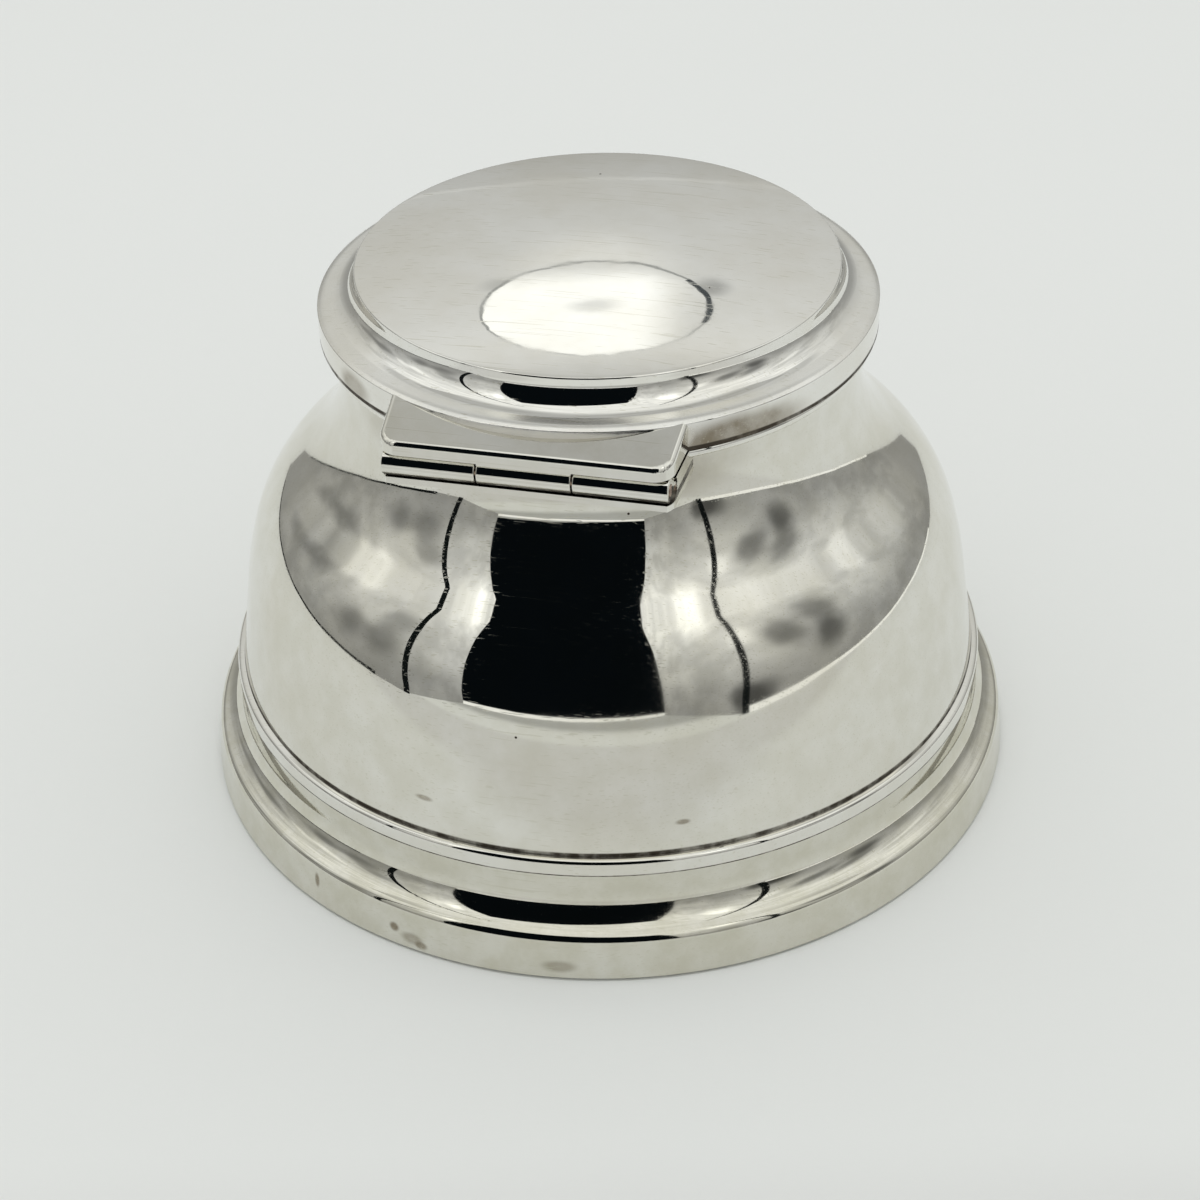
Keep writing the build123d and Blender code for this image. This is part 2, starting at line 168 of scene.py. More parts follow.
mouth_height = neck_centre[1] + mouth_rise
collar_radius = neck_radius + collar_overhang
collar_top = mouth_height + collar_thickness
well_radius = collar_radius - collar_width
well_bore = well_radius - well_sheet
well_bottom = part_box("well_sleeve")[0].z / metres
well_floor = well_bottom + well_sheet
pot_radius = well_bore - pot_clearance
pot_bore = pot_radius - pot_wall
pot_top = collar_top - pot_below_rim
pot_inner_floor = well_floor + pot_floor
lid_bottom = collar_top + lid_gap
lid_radius = collar_radius + lid_overhang
lid_inner_radius = lid_radius - lid_sheet
lid_band_top = (lid_radius, lid_bottom + lid_band_height)
lid_corner_centre = on_arc(lid_band_top, -lid_corner_radius, 0)
lid_bevel_start = on_arc(lid_corner_centre, lid_corner_radius, lid_bevel_lean)
lid_bevel_end = up_slope(lid_bevel_start, lid_bevel_width, lid_bevel_lean)
lid_ledge_end = up_slope(lid_bevel_end, lid_ledge_width, lid_ledge_lean)
lid_cove_centre = on_arc(lid_ledge_end, lid_cove_radius, lid_ledge_lean)
lid_wall_foot = on_arc(lid_cove_centre, -lid_cove_radius, lid_wall_lean)
lid_wall_top = up_slope(lid_wall_foot, lid_wall_length, lid_wall_lean)
dome_corner_centre = on_arc(lid_wall_top, -dome_corner_radius, lid_wall_lean)
dome_edge = on_arc(dome_corner_centre, dome_corner_radius, dome_edge_lean)
dome_radius = dome_edge[0] / cos(radians(dome_edge_lean))
dome_centre = on_arc(dome_edge, -dome_radius, dome_edge_lean)
under_dome_radius = dome_radius - lid_sheet
under_cove_radius = lid_cove_radius + lid_sheet
centres_apart = dist(dome_centre, lid_cove_centre)
centres_rise = lid_cove_centre[1] - dome_centre[1]
under_reach = (under_dome_radius**2 - under_cove_radius**2 + centres_apart**2) / centres_apart / 2
under_dome_lean = degrees(atan2(centres_rise, lid_cove_centre[0]))
under_dome_lean += degrees(acos(under_reach / under_dome_radius))
under_dome_edge = on_arc(dome_centre, under_dome_radius, under_dome_lean)
under_drop = lid_cove_centre[1] - under_dome_edge[1]
under_cove_lean = degrees(atan2(under_drop, lid_cove_centre[0] - under_dome_edge[0]))
under_ledge_end = on_arc(lid_cove_centre, -under_cove_radius, lid_ledge_lean)
under_ledge_width = (lid_inner_radius - under_ledge_end[0]) / sin(radians(lid_ledge_lean))
under_corner = up_slope(under_ledge_end, -under_ledge_width, lid_ledge_lean)
bezel_radius = well_bore - bezel_clearance
bezel_bore = bezel_radius - bezel_sheet
bezel_bottom = lid_bottom - bezel_drop
flange_bottom = lid_bottom + bezel_recess
flange_top = flange_bottom + bezel_flange
lining_radius = bezel_bore + lining_overlap
axis_out = collar_radius + knuckle_behind_gap + knuckle_radius
axis_height = lid_bottom - knuckle_radius
knuckle_pitch = knuckle_length + knuckle_gap
hinge_half_length = 1.5 * knuckle_length + knuckle_gap


def arc(centre, radius, start_lean, end_lean):
    """Points along an arc, close enough together for its mirror image to look smooth."""
    turn = end_lean - start_lean
    steps = ceil(max(abs(turn) / largest_turn, abs(radius) * radians(abs(turn)) / longest_step, 1))
    return [on_arc(centre, radius, start_lean + turn * step / steps) for step in range(steps + 1)]


def run(start, end):
    """Points along a straight stretch, the ends included."""
    steps = ceil(max(dist(start, end) / longest_step, 1))
    return [
        (
            start[0] + (end[0] - start[0]) * step / steps,
            start[1] + (end[1] - start[1]) * step / steps,
        )
        for step in range(steps + 1)
    ]


def runs(*corners):
    """Straight stretches through several corners."""
    points = []
    for start, end in zip(corners, corners[1:]):
        points += run(start, end)
    return points


def body_side(inset=0.0):
    """Side of the body from the foot to the mouth, or a line set in from it by a wall."""
    hollow = neck_cove_radius + inset
    bottom_radius = cone_bottom[0] - inset / cos(radians(cone_lean))
    return [
        *run((bottom_radius, foot_top), on_arc(belly_centre, belly_radius - inset, cone_lean)),
        *arc(belly_centre, belly_radius - inset, cone_lean, belly_lean),
        *arc(shoulder_centre, shoulder_radius - inset, belly_lean, shoulder_lean),
        *arc(neck_centre, -hollow, shoulder_lean, -degrees(asin(mouth_rise / hollow))),
    ]


def foot_outline():
    """The foot's band, corner, hollow and wall, closed around its thickness."""
    return [
        *runs(
            (foot_radius - foot_sheet, 0),
            (foot_radius - foot_edge_chamfer, 0),
            (foot_radius, foot_edge_chamfer),
            foot_band_top,
        ),
        *arc(foot_corner_centre, foot_corner_radius, 0, foot_ledge_lean),
        *arc(foot_cove_centre, -foot_cove_radius, foot_ledge_lean, 0),
        *runs(
            (foot_wall_radius, foot_cove_centre[1]),
            (foot_wall_radius, foot_top),
            (foot_inner_radius, foot_top),
            (foot_inner_radius, foot_cove_centre[1]),
        ),
        *arc(foot_cove_centre, -foot_inner_cove_radius, 0, foot_ledge_lean),
    ]


def wire_outline():
    """A flat band, a reed and a narrow ledge that runs in to the cone of the body."""
    start = (wire_radius, foot_top + wire_band_height)
    centre = on_arc(start, -reed_radius, 0)
    end = on_arc(centre, reed_radius, reed_ledge_lean)
    cone_there = cone_bottom[0] - (end[1] - foot_top) * tan(radians(cone_lean))
    closing = tan(radians(reed_ledge_lean)) - tan(radians(cone_lean))
    ledge_top = end[1] + (end[0] - cone_there) / closing
    ledge_end = (end[0] - (ledge_top - end[1]) * tan(radians(reed_ledge_lean)), ledge_top)
    return [
        *runs((cone_bottom[0], foot_top), (wire_radius, foot_top), start),
        *arc(centre, reed_radius, 0, reed_ledge_lean),
        *run(end, ledge_end),
    ]


def rounded_box(inner, outer, bottom, top, rounding):
    """Section of a ring with its four edges rounded."""
    return [
        *arc((outer - rounding, bottom + rounding), rounding, -90, 0),
        *arc((outer - rounding, top - rounding), rounding, 0, 90),
        *arc((inner + rounding, top - rounding), rounding, 90, 180),
        *arc((inner + rounding, bottom + rounding), rounding, 180, 270),
    ]


def well_outline():
    """The cup that holds the pot, with a softened rim level with the collar."""
    rim = collar_top - well_edge_round
    return [
        *runs((0, well_bottom), (well_radius, well_bottom), (well_radius, rim)),
        *arc((well_radius - well_edge_round, rim), well_edge_round, 0, 90),
        *arc((well_bore + well_edge_round, rim), well_edge_round, 90, 180),
        *runs((well_bore, rim), (well_bore, well_floor), (0, well_floor)),
    ]


def pot_outline():
    """The moulded glass pot, with a rounded lip and a rounded bottom inside."""
    lip = pot_top - pot_lip_round
    bend = pot_inner_floor + pot_inner_round
    return [
        *run((0, well_floor), (pot_radius - pot_foot_round, well_floor)),
        *arc((pot_radius - pot_foot_round, well_floor + pot_foot_round), pot_foot_round, -90, 0),
        *arc((pot_radius - pot_lip_round, lip), pot_lip_round, 0, 90),
        *arc((pot_bore + pot_lip_round, lip), pot_lip_round, 90, 180),
        *arc((pot_bore - pot_inner_round, bend), pot_inner_round, 0, -90),
        (0, pot_inner_floor),
    ]


def lid_outline():
    """The spun lid in one piece, from the top of its dome round to its underside."""
    return [
        *arc(dome_centre, dome_radius, 90, dome_edge_lean),
        *arc(dome_corner_centre, dome_corner_radius, dome_edge_lean, lid_wall_lean),
        *run(lid_wall_top, lid_wall_foot),
        *arc(lid_cove_centre, -lid_cove_radius, lid_wall_lean, lid_ledge_lean),
        *runs(lid_ledge_end, lid_bevel_end, lid_bevel_start),
        *arc(lid_corner_centre, lid_corner_radius, lid_bevel_lean, 0),
        *runs(lid_band_top, (lid_radius, lid_bottom), (lid_inner_radius, lid_bottom)),
        *runs((lid_inner_radius, lid_bottom), under_corner, under_ledge_end),
        *arc(lid_cove_centre, -under_cove_radius, lid_ledge_lean, under_cove_lean),
        *arc(dome_centre, under_dome_radius, under_dome_lean, 90),
    ]


def bezel_outline():
    """The short tube under the lid, with the flange that holds it."""
    bottom = bezel_bottom + bezel_edge_round
    return [
        *arc((bezel_bore + bezel_edge_round, bottom), bezel_edge_round, 180, 270),
        *arc((bezel_radius - bezel_edge_round, bottom), bezel_edge_round, 270, 360),
        *runs(
            (bezel_radius, flange_bottom),
            (lid_inner_radius, flange_bottom),
            (lid_inner_radius, flange_top),
            (bezel_bore, flange_top),
            (bezel_bore, bottom),
        ),
    ]


def lining_outline():
    """The disc that closes the lid, flat at its rim and slightly domed in the middle."""
    curve_radius = (bezel_bore**2 + lining_rise**2) / (2 * lining_rise)
    middle = (0, flange_top + lining_rise - curve_radius)
    edge_lean = degrees(acos(bezel_bore / curve_radius))
    return [
        *arc(middle, curve_radius, 90, edge_lean),
        *runs(
            (bezel_bore, flange_top),
            (lining_radius, flange_top),
            (lining_radius, flange_top + lining_sheet),
            (bezel_bore, flange_top + lining_sheet),
        ),
        *arc((0, middle[1] + lining_sheet), curve_radius, edge_lean, 90),
    ]


def knuckle_outline(half_length, radius, bore, rounding):
    """Section of a tube around the hinge axis, or of a solid pin where the bore is 0."""
    end = half_length - rounding
    outline = [
        *arc((radius - rounding, -end), rounding, -90, 0),
        *arc((radius - rounding, end), rounding, 0, 90),
    ]
    return [(bore, -half_length), *outline, (bore, half_length)]


def without_repeats(outline):
    """The outline without points that lie on the one before."""
    kept = []
    for point in outline:
        if not kept or dist(point, kept[-1]) > same_point:
            kept.append(point)
    if dist(kept[0], kept[-1]) < same_point:
        kept.pop()
    return kept


# Slow ripples that hand finishing leaves: how deep and how wide they are
ripple_depth = 0.012
ripple_width = 13.0
sharp_angle = radians(28)


def add_object(name, data):
    """A new object in the scene."""
    made = bpy.data.objects.new(name, data)
    bpy.context.scene.collection.objects.link(made)
    return made


def lathe(name, outline, segments, ripple=0.0, place=Matrix.Identity(4)):
    """Turns an outline into a closed mesh in metres, with ripples pressed slightly inwards."""
    outline = without_repeats(outline)
    count = len(outline)
    vertices, rings = [], []
    for index, (radius, height) in enumerate(outline):
        before, after = outline[index - 1], outline[(index + 1) % count]
        along = (after[0] - before[0], after[1] - before[1])
        length = hypot(*along) or 1.0
        inwards = (-along[1] / length, along[0] / length)
        ring = []
        for segment in range(segments if radius > same_point else 1):
            turn = 2 * pi * segment / segments
            point = Vector((radius * cos(turn), radius * sin(turn), height))
            sink = ripple * (1 + noise.noise(point / ripple_width)) / 2
            point.x += inwards[0] * sink * cos(turn)
            point.y += inwards[0] * sink * sin(turn)
            point.z += inwards[1] * sink
            ring.append(len(vertices))
            vertices.append(place @ (point * metres))
        rings.append(ring)
    faces = []
    for index in range(count):
        low, high = rings[index], rings[(index + 1) % count]
        if len(low) == 1 and len(high) == 1:
            continue
        for segment in range(segments):
            following = (segment + 1) % segments
            corners = [
                low[segment % len(low)],
                low[following % len(low)],
                high[following % len(high)],
                high[segment % len(high)],
            ]
            faces.append(list(dict.fromkeys(corners)))
    mesh = bpy.data.meshes.new(name)
    mesh.from_pydata(vertices, [], faces)
    mesh.shade_smooth()
    mesh.set_sharp_from_angle(angle=sharp_angle)
    return add_object(name, mesh)


# Node helpers
def new_material(name):
    """An empty node material."""
    material = bpy.data.materials.new(name)
    material.use_nodes = True
    material.node_tree.nodes.clear()
    return material


def add_node(tree, kind, sockets=None, **settings):
    """Adds a node, with its settings and with its sockets set or linked."""
    made = tree.nodes.new(kind)
    for key, value in settings.items():
        setattr(made, key, value)
    for key, value in (sockets or {}).items():
        if isinstance(value, bpy.types.NodeSocket):
            tree.links.new(value, made.inputs[key])
        else:
            made.inputs[key].default_value = value
    return made


def start_material(name):
    """A new material, its node tree and each surface point's place in metres."""
    material = new_material(name)
    place = add_node(material.node_tree, "ShaderNodeTexCoord").outputs["Object"]
    return material, material.node_tree, place


def calculate(tree, operation, first, second=0.0, third=0.0, clamp=False):
    """A math node's result."""
    sockets = {0: first, 1: second, 2: third}
    made = add_node(tree, "ShaderNodeMath", sockets, operation=operation, use_clamp=clamp)
    return made.outputs[0]


def product(tree, first, *others):
    """Several values multiplied."""
    for other in others:
        first = calculate(tree, "MULTIPLY", first, other)
    return first


def larger(tree, first, second):
    """The larger of two values."""
    return calculate(tree, "MAXIMUM", first, second)


def combine(tree, operation, first, second):
    """The vector that a vector math node makes of two."""
    made = add_node(tree, "ShaderNodeVectorMath", {0: first, 1: second}, operation=operation)
    return made.outputs[0]


def length_of(tree, vector):
    """The length of a vector."""
    made = add_node(tree, "ShaderNodeVectorMath", {0: vector}, operation="LENGTH")
    return made.outputs["Value"]


def off_axis(tree, place):
    """How far a place is from the object's upright axis."""
    return length_of(tree, combine(tree, "MULTIPLY", place, (1.0, 1.0, 0.0)))


def coordinate(tree, place, axis):
    """One coordinate of a place: X, Y or Z."""
    return add_node(tree, "ShaderNodeSeparateXYZ", {"Vector": place}).outputs[axis]


def fade(tree, value, start, end, low=0.0, high=1.0):
    """A smooth step from low to high as the value goes from start to end."""
    sockets = {"Value": value, "From Min": start, "From Max": end, "To Min": low, "To Max": high}
    made = add_node(tree, "ShaderNodeMapRange", sockets, interpolation_type="SMOOTHSTEP")
    return made.outputs["Result"]


def gain_where(tree, level, share, gain):
    """A level, multiplied by a gain where a share is 1 and as it was where the share is 0."""
    return product(tree, level, fade(tree, share, 0.0, 1.0, 1.0, gain))


def blend_levels(tree, share, first, second):
    """A number mixed from two by a share."""
    return add_node(tree, "ShaderNodeMix", {0: share, 2: first, 3: second}).outputs[0]


def blend_colours(tree, share, first, second):
    """A colour mixed from two by a share."""
    sockets = {0: share, 6: first, 7: second}
    return add_node(tree, "ShaderNodeMix", sockets, data_type="RGBA").outputs[2]


def cloudy(tree, place, scale, detail=2.0, roughness=0.5):
    """Noise, with its scale in patches per metre."""
    sockets = {"Vector": place, "Scale": scale, "Detail": detail, "Roughness": roughness}
    return add_node(tree, "ShaderNodeTexNoise", sockets).outputs["Fac"]


def patchy(tree, place, noise_kind, *fade_range):
    """Noise of a kind (scale, detail, roughness) as a soft step within a range."""
    return fade(tree, cloudy(tree, place, *noise_kind), *fade_range)


def soft_spot(tree, place, centre, size, core=0.0):
    """1 in the middle of a soft oval spot and 0 outside it; centre and size are in metres."""
    shifted = combine(tree, "SUBTRACT", place, centre)
    reach = length_of(tree, combine(tree, "DIVIDE", shifted, size))
    return fade(tree, reach, 1.0, core)


def finish_material(tree, shader):
    """Links a shader to the material's output."""
    add_node(tree, "ShaderNodeOutputMaterial", {"Surface": shader.outputs[0]})


def finish_surface(tree, colour, gloss, height, depth, more=None):
    """Ends a material with its colour, its roughness and a relief of a depth in metres."""
    bump = add_node(tree, "ShaderNodeBump", {"Height": height, "Distance": depth})
    sockets = {"Base Color": colour, "Roughness": gloss, "Normal": bump.outputs["Normal"]}
    sockets.update(more or {})
    finish_material(tree, add_node(tree, "ShaderNodeBsdfPrincipled", sockets))


def finish_glow(tree, colour, strength):
    """Ends a material that glows."""
    sockets = {"Color": colour, "Strength": strength}
    finish_material(tree, add_node(tree, "ShaderNodeEmission", sockets))


# Old silver
silver_clean = (0.90, 0.895, 0.875, 1)
silver_aged = (0.83, 0.81, 0.76, 1)
silver_old = (0.60, 0.58, 0.475, 1)
# Dark colour of grimy joints, also used for painted shade under the hinge knuckles
silver_grime_and_shade = (0.07, 0.058, 0.045, 1)
silver_stain = (0.23, 0.19, 0.13, 1)
silver_residue = (0.76, 0.74, 0.66, 1)
silver_gloss = 0.018
silver_dull = 0.06
scratch_gloss = 0.10
scratch_shade = 0.45
worn_gloss = 0.24
stain_gloss = 0.35
grime_and_shade_gloss = 0.5
residue_gloss = 0.8
stain_core = 0.4
residue_core = 0.5

# Its noise, as patches per metre, detail and roughness, and the range of each soft step
patch_noise = (70.0, 4.0, 0.6)
patch_range = (0.35, 0.7)
mottle_noise = (260.0, 5.0, 0.65)
mottle_range = (0.30, 0.70)
mottle_least = 0.70
mottle_most = 1.15
stain_noise = (320.0, 4.0, 0.55)
stain_range = (0.35, 0.65, 0.70, 1.0)
grime_and_shade_noise = (420.0, 4.0, 0.6)
grime_and_shade_range = (0.30, 0.60, 0.55, 1.0)
residue_noise = (900.0, 4.0, 0.6)
residue_range = (0.34, 0.54, 0.72, 1.0)
relief_noise = (240.0, 2.0)

# Scratches, as their turn, length, width and amount, and pits, in metres
long_scratches = ((0.3, 0.2, 0.5), 0.014, 0.00016, 0.045)
cross_scratches = ((1.1, 0.7, 2.1), 0.009, 0.00014, 0.035)
stroke_start = 0.80
stroke_edge = 0.03
pit_spacing = 0.0042
pit_radius = 0.00016
pit_edge = 0.6
pit_share = 0.14

# Relief of the silver: its full depth in metres, and the marks as shares of it
silver_relief = 0.000006
scratch_depth = 0.05
pit_depth = 0.4


def scratches(tree, place, turn, length, width, amount, wear):
    """Thin strokes in one direction; more amount or wear gives more of them."""
    sockets = {"Vector": place, "Rotation": turn, "Scale": (1 / length, 1 / width, 1 / width)}
    mapping = add_node(tree, "ShaderNodeMapping", sockets)
    strokes = cloudy(tree, mapping.outputs[0], 1.0, detail=0.0)
    start = stroke_start - amount * wear
    return fade(tree, strokes, start, start + stroke_edge)


def pits(tree, place, share):
    """Scattered round pits: a cell holds one where its own random value is under the share."""
    sockets = {"Vector": place, "Scale": 1 / pit_spacing, "Randomness": 1.0}
    cells = add_node(tree, "ShaderNodeTexVoronoi", sockets)
    hue = add_node(tree, "ShaderNodeSeparateColor", {"Color": cells.outputs["Color"]})
    chosen = calculate(tree, "LESS_THAN", hue.outputs[0], share)
    reach = pit_radius / pit_spacing
    inside = fade(tree, cells.outputs["Distance"], reach, reach * pit_edge)
    return product(tree, inside, chosen)


def height_band(tree, place, low, high, softness):
    """1 between two heights in millimetres, fading out beyond them."""
    height = coordinate(tree, place, "Z")
    bottom, top, soft = low * metres, high * metres, softness * metres
    above = fade(tree, height, bottom - soft, bottom)
    below = fade(tree, height, top + soft, top)
    return product(tree, above, below)


def silver(name, grime_and_shade_bands=(), stains=(), age=0.0, wear=1.0, worn_bands=(), residue=()):
    """Old polished silver: bright, with faint patches, hairline scratches, pits, grimy joints and
    bands of painted shade.

    Stains are brown spots, each with its centre and size in metres and its strength. With age
    the silver turns greyer and a little yellow, and its patches show more. With wear it has more
    scratches and pits. Worn bands are rubbed dull. Residue is dried polish: pale matt spots,
    given like the stains.
    """
    material, tree, place = start_material(name)
    patches = patchy(tree, place, patch_noise, *patch_range)
    colour = blend_colours(tree, patches, silver_clean, silver_aged)
    old_share = (mottle_least * age, mottle_most * age)
    mottled = patchy(tree, place, mottle_noise, *mottle_range, *old_share)
    colour = blend_colours(tree, mottled, colour, silver_old)
    gloss = fade(tree, patches, 0.0, 1.0, silver_gloss, silver_dull)

    for centre, size, strength in stains:
        spot = soft_spot(tree, place, centre, size, stain_core)
        uneven = patchy(tree, place, stain_noise, *stain_range)
        tarnish = product(tree, spot, uneven, strength)
        colour = blend_colours(tree, tarnish, colour, silver_stain)
        gloss = larger(tree, gloss, product(tree, tarnish, stain_gloss))

    fine = scratches(tree, place, *long_scratches, wear)
    crossing = scratches(tree, place, *cross_scratches, wear)
    marks = larger(tree, fine, crossing)
    holes = pits(tree, place, pit_share * wear)

    grime_and_shade = holes
    # Dark bands: grimy joints, and painted shade where a band stands for a shadow, as under the
    # hinge knuckles
    for low, high, softness in grime_and_shade_bands:
        band = height_band(tree, place, low, high, softness)
        ragged = patchy(tree, place, grime_and_shade_noise, *grime_and_shade_range)
        grime_and_shade = larger(tree, grime_and_shade, product(tree, band, ragged))
    colour = blend_colours(tree, product(tree, marks, scratch_shade), colour, silver_old)
    colour = blend_colours(tree, grime_and_shade, colour, silver_grime_and_shade)
    gloss = larger(tree, gloss, product(tree, marks, scratch_gloss))
    gloss = larger(tree, gloss, product(tree, grime_and_shade, grime_and_shade_gloss))

    for low, high, softness in worn_bands:
        rubbed = height_band(tree, place, low, high, softness)
        gloss = larger(tree, gloss, product(tree, rubbed, worn_gloss))

    metal = 1.0
    for centre, size, strength in residue:
        spot = soft_spot(tree, place, centre, size, residue_core)
        streaky = patchy(tree, place, residue_noise, *residue_range)
        covered = product(tree, spot, streaky, strength)
        colour = blend_colours(tree, covered, colour, silver_residue)
        gloss = larger(tree, gloss, product(tree, covered, residue_gloss))
        metal = calculate(tree, "SUBTRACT", metal, covered, clamp=True)

    relief = cloudy(tree, place, *relief_noise)
    relief = calculate(tree, "MULTIPLY_ADD", marks, -scratch_depth, relief)
    relief = calculate(tree, "MULTIPLY_ADD", holes, -pit_depth, relief)
    finish_surface(tree, colour, gloss, relief, silver_relief, {"Metallic": metal})
    return material


# Steel, glass, ink, wood, cloth and pitch: colours, noise and ranges as for the silver, and
# the depth of the relief in metres
steel_light = (0.58, 0.45, 0.37, 1)
steel_brown = (0.30, 0.21, 0.17, 1)
steel_noise = (2600.0, 3.0)
steel_range = (0.4, 0.65)
steel_gloss = (0.28, 0.5)
steel_relief = 0.00001
glass_colour = (0.93, 0.97, 0.95, 1)
glass_gloss = 0.01
glass_index = 1.5
glass_noise = (160.0, 2.0)
glass_relief = 0.00003
ink_colour = (0.006, 0.008, 0.022, 1)
ink_gloss = 0.25
ink_noise = (220.0, 4.0)
ink_uneven = 0.006
ink_top = 0.0010
ink_bottom = -0.0016
ink_under_floor = 0.0003
ink_past_bore = 1.01
wood_dark = (0.10, 0.045, 0.02, 1)
wood_light = (0.25, 0.13, 0.06, 1)
wood_stretch = (40, 900, 300)
wood_noise = (1.0, 5.0, 0.6)
wood_range = (0.35, 0.65)
wood_gloss = (0.45, 0.65)
wood_relief = 0.00005
cloth_dark = (0.008, 0.075, 0.03, 1)
cloth_green = (0.03, 0.19, 0.085, 1)
cloth_rubbed = (0.09, 0.20, 0.12, 1)
cloth_noise = (5200.0, 3.0, 0.8)
rubbed_noise = (90.0, 4.0, 0.6)
rubbed_range = (0.45, 0.75)
cloth_gloss = 0.95
cloth_sheen = 0.4
cloth_relief = 0.0002
pitch_black = (0.012, 0.010, 0.009, 1)
pitch_dusty = (0.10, 0.08, 0.06, 1)
dust_noise = (140.0, 5.0, 0.6)
dust_range = (0.5, 0.8)
pitch_gloss = (0.25, 0.8)
pitch_relief = 0.0002


def dark_steel(name):
    """The worn, brownish end of the hinge pin."""
    material, tree, place = start_material(name)
    stain = patchy(tree, place, steel_noise, *steel_range)
    colour = blend_colours(tree, stain, steel_light, steel_brown)
    gloss = fade(tree, stain, 0.0, 1.0, *steel_gloss)
    finish_surface(tree, colour, gloss, stain, steel_relief, {"Metallic": 1.0})
    return material


def pot_glass(name):
    """Thick pressed glass with a faint green cast and a dried ink stain in the bottom."""
    material, tree, place = start_material(name)
    waves = cloudy(tree, place, *glass_noise)
    bump = add_node(tree, "ShaderNodeBump", {"Height": waves, "Distance": glass_relief})
    sockets = {
        "Base Color": glass_colour,
        "Roughness": glass_gloss,
        "IOR": glass_index,
        "Transmission Weight": 1.0,
        "Normal": bump.outputs["Normal"],
    }
    glass = add_node(tree, "ShaderNodeBsdfPrincipled", sockets)
    sockets = {"Base Color": ink_colour, "Roughness": ink_gloss}
    ink = add_node(tree, "ShaderNodeBsdfPrincipled", sockets)
    height = coordinate(tree, place, "Z")
    floor = pot_inner_floor * metres
    inside = calculate(tree, "GREATER_THAN", height, floor - ink_under_floor)
    level = calculate(tree, "MULTIPLY_ADD", cloudy(tree, place, *ink_noise), -ink_uneven, height)
    low = fade(tree, level, floor + ink_top, floor + ink_bottom)
    reach = pot_bore * metres * ink_past_bore
    bore = calculate(tree, "LESS_THAN", off_axis(tree, place), reach)
    stain = product(tree, inside, low, bore)
    sockets = {0: stain, 1: glass.outputs[0], 2: ink.outputs[0]}
    finish_material(tree, add_node(tree, "ShaderNodeMixShader", sockets))
    return material


def plain_wood(name):
    """Stained base board with a fine straight grain."""
    material, tree, place = start_material(name)
    sockets = {"Vector": place, "Scale": wood_stretch}
    stretched = add_node(tree, "ShaderNodeMapping", sockets)
    grain = cloudy(tree, stretched.outputs[0], *wood_noise)
    share = fade(tree, grain, *wood_range)
    colour = blend_colours(tree, share, wood_dark, wood_light)
    gloss = fade(tree, share, 0.0, 1.0, *wood_gloss)
    finish_surface(tree, colour, gloss, grain, wood_relief)
    return material


def green_cloth(name):
    """Worn green baize under the base: napped, with paler rubbed patches."""
    material, tree, place = start_material(name)
    nap = cloudy(tree, place, *cloth_noise)
    rubbed = patchy(tree, place, rubbed_noise, *rubbed_range)
    colour = blend_colours(tree, nap, cloth_dark, cloth_green)
    colour = blend_colours(tree, rubbed, colour, cloth_rubbed)
    finish_surface(tree, colour, cloth_gloss, nap, cloth_relief, {"Sheen Weight": cloth_sheen})
    return material


def black_pitch(name):
    """Hard black pitch with a few brown dusty patches."""
    material, tree, place = start_material(name)
    dust = patchy(tree, place, dust_noise, *dust_range)
    colour = blend_colours(tree, dust, pitch_black, pitch_dusty)
    gloss = fade(tree, dust, 0.0, 1.0, *pitch_gloss)
    finish_surface(tree, colour, gloss, dust, pitch_relief)
    return material


# Where the silver is stained: centre and size of each spot in metres, and its strength
body_stains = [
    ((-0.0095, -0.0385, 0.0165), (0.0012, 0.003, 0.0004), 0.7),
    ((0.0160, -0.0360, 0.0160), (0.0009, 0.003, 0.0004), 0.7),
    ((0.0110, -0.0280, 0.0480), (0.0190, 0.0130, 0.0048), 0.45),
    ((-0.0160, -0.0260, 0.0480), (0.0100, 0.0100, 0.0040), 0.30),
]
foot_stains = [
    ((-0.0125, -0.0420, 0.0022), (0.0007, 0.002, 0.0007), 1.0),
    ((-0.0095, -0.0430, 0.0010), (0.0009, 0.002, 0.0006), 1.0),
    ((-0.0105, -0.0428, 0.0015), (0.0016, 0.002, 0.0009), 0.7),
    ((-0.0220, -0.0376, 0.0030), (0.0004, 0.002, 0.0011), 0.9),
    ((0.0050, -0.0437, 0.0016), (0.0024, 0.002, 0.0009), 0.5),
]
lid_stains = [
    ((0.0185, -0.0210, 0.0516), (0.0095, 0.0090, 0.0025), 0.92),
    ((-0.0190, -0.0205, 0.0520), (0.0040, 0.0030, 0.0018), 0.7),
]
lid_residue = [
    ((0.0000, -0.0275, 0.0528), (0.0170, 0.0070, 0.0013), 0.95),
    ((0.0138, -0.0240, 0.0525), (0.0012, 0.0030, 0.0014), 0.8),
]

# Grimy bands along the joints, a band of painted shade under the hinge knuckles, and the worn
# ledge of the lid: bottom, top and softness
wire_top = foot_top + wire_band_height + reed_radius
joint_top = wire_top + 0.04
knuckle_foot = axis_height - knuckle_radius
body_joint = [(joint_top, joint_top + 0.32, 0.2)]
foot_joint = [(foot_top - 0.12, foot_top, 0.12)]
wire_joint = [(foot_top, foot_top + 0.08, 0.1)]
lid_joint = [(lid_bottom, lid_bottom + 0.32, 0.15)]
# Painted shade: darkens the knuckles' undersides, where the gap over the lower leaf's lip lies in
# shadow
hinge_underside_shade = [(knuckle_foot - 0.1, knuckle_foot + 0.58, 0.08)]
lid_ledge = [(lid_bevel_start[1], lid_ledge_end[1] + 0.02, 0.05)]

